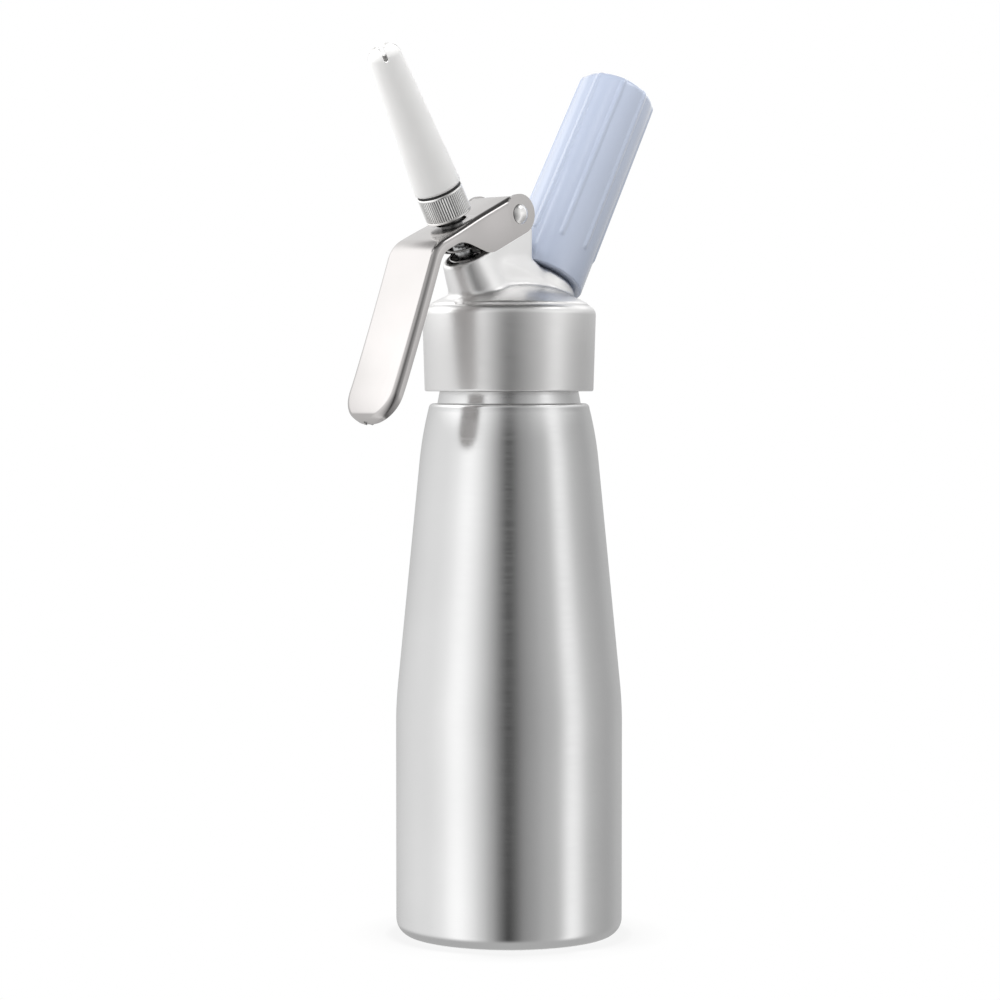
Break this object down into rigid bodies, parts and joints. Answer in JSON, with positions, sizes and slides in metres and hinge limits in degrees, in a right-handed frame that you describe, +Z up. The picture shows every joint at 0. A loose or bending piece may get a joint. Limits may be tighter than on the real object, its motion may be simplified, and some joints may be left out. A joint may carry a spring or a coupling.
{
  "type": "whipped cream dispenser",
  "caption": "Whipped cream dispenser: tapered metal bottle, screw-on head with squeeze lever, sprung valve, slotted plastic nozzle and ribbed plastic charger holder.",
  "frame": {"origin": "centre of the bottle's flat base", "axes": "+Z up along the bottle; the lever and the nozzle lean towards -X, the charger holder towards +X"},
  "size_m": [0.1378, 0.08, 0.3102],
  "materials": {
    "bottle_metal": "brushed lengthwise, satin",
    "cast_head": "satin, turned on the skirt",
    "pressed_steel": "fine brushed, bright at the folds",
    "turned_steel": "turned, bright",
    "spring_steel": "drawn wire",
    "knurled_metal": "knurled, bright",
    "capsule_steel": "plated, smooth",
    "seal_foil": "foil",
    "brass": "turned",
    "white_plastic": "matte moulded",
    "blue_plastic": "glossy moulded",
    "rubber": "matte",
    "silicone": "matte, translucent white"
  },
  "bodies": {
    "bottle": {"bottle": "bottle_metal"},
    "gasket": {"head_gasket": "silicone"},
    "head": {"head": "cast_head", "check_valve": "rubber", "check_valve_ring": "brass", "pin_carrier": "brass", "piercing_pin": "turned_steel", "inlet_gasket": "rubber", "valve_spring": "spring_steel"},
    "lever": {"lever": "pressed_steel", "lever_rivet": "turned_steel"},
    "valve": {"valve_stem": "turned_steel", "valve_seal": "rubber", "stem_o_ring": "rubber", "spring_collar": "turned_steel"},
    "nozzle_washer": {"nozzle_seal": "rubber"},
    "nozzle": {"nozzle_ring": "knurled_metal", "nozzle": "white_plastic"},
    "charger": {"charger_capsule": "capsule_steel", "charger_seal": "seal_foil"},
    "holder": {"charger_holder": "blue_plastic"}
  },
  "joints": [
    {"name": "head_rise", "type": "slide", "parent": "bottle", "child": "gasket", "axis": [0, 0, 1], "range_m": [0, 0.012]},
    {"name": "head_turn", "type": "hinge", "parent": "gasket", "child": "head", "pos_m": [0, 0, 0.2], "axis": [0, 0, 1], "range_deg": [0, 1080]},
    {"name": "lever_pivot", "type": "hinge", "parent": "head", "child": "lever", "pos_m": [-0.005, 0, 0.2542], "axis": [0, -1, 0], "range_deg": [0, 6.8]},
    {"name": "valve_slide", "type": "slide", "parent": "head", "child": "valve", "axis": [0.5, 0, -0.866], "range_m": [0, 0.00257], "stiffness_N_per_m": 1500, "springref_m": -0.0027, "deforming": ["valve_spring"]},
    {"name": "nozzle_rise", "type": "slide", "parent": "valve", "child": "nozzle_washer", "axis": [-0.5, 0, 0.866], "range_m": [0, 0.0075]},
    {"name": "nozzle_turn", "type": "hinge", "parent": "nozzle_washer", "child": "nozzle", "pos_m": [-0.0294, 0, 0.253], "axis": [-0.5, 0, 0.866], "range_deg": [0, 2160]},
    {"name": "charger_rise", "type": "slide", "parent": "head", "child": "charger", "axis": [0.5, 0, 0.866], "range_m": [0, 0.0125]},
    {"name": "holder_turn", "type": "hinge", "parent": "charger", "child": "holder", "pos_m": [0.0162, 0, 0.2322], "axis": [0.5, 0, 0.866], "range_deg": [0, 1800]}
  ],
  "couplings": [
    {"joint": "head_turn", "follows": "head_rise", "rad_per_m": 1570.8},
    {"joint": "lever_pivot", "follows": "valve_slide", "rad_per_m": 46.017},
    {"joint": "nozzle_turn", "follows": "nozzle_rise", "rad_per_m": 5026.5},
    {"joint": "holder_turn", "follows": "charger_rise", "rad_per_m": 2513.2}
  ]
}
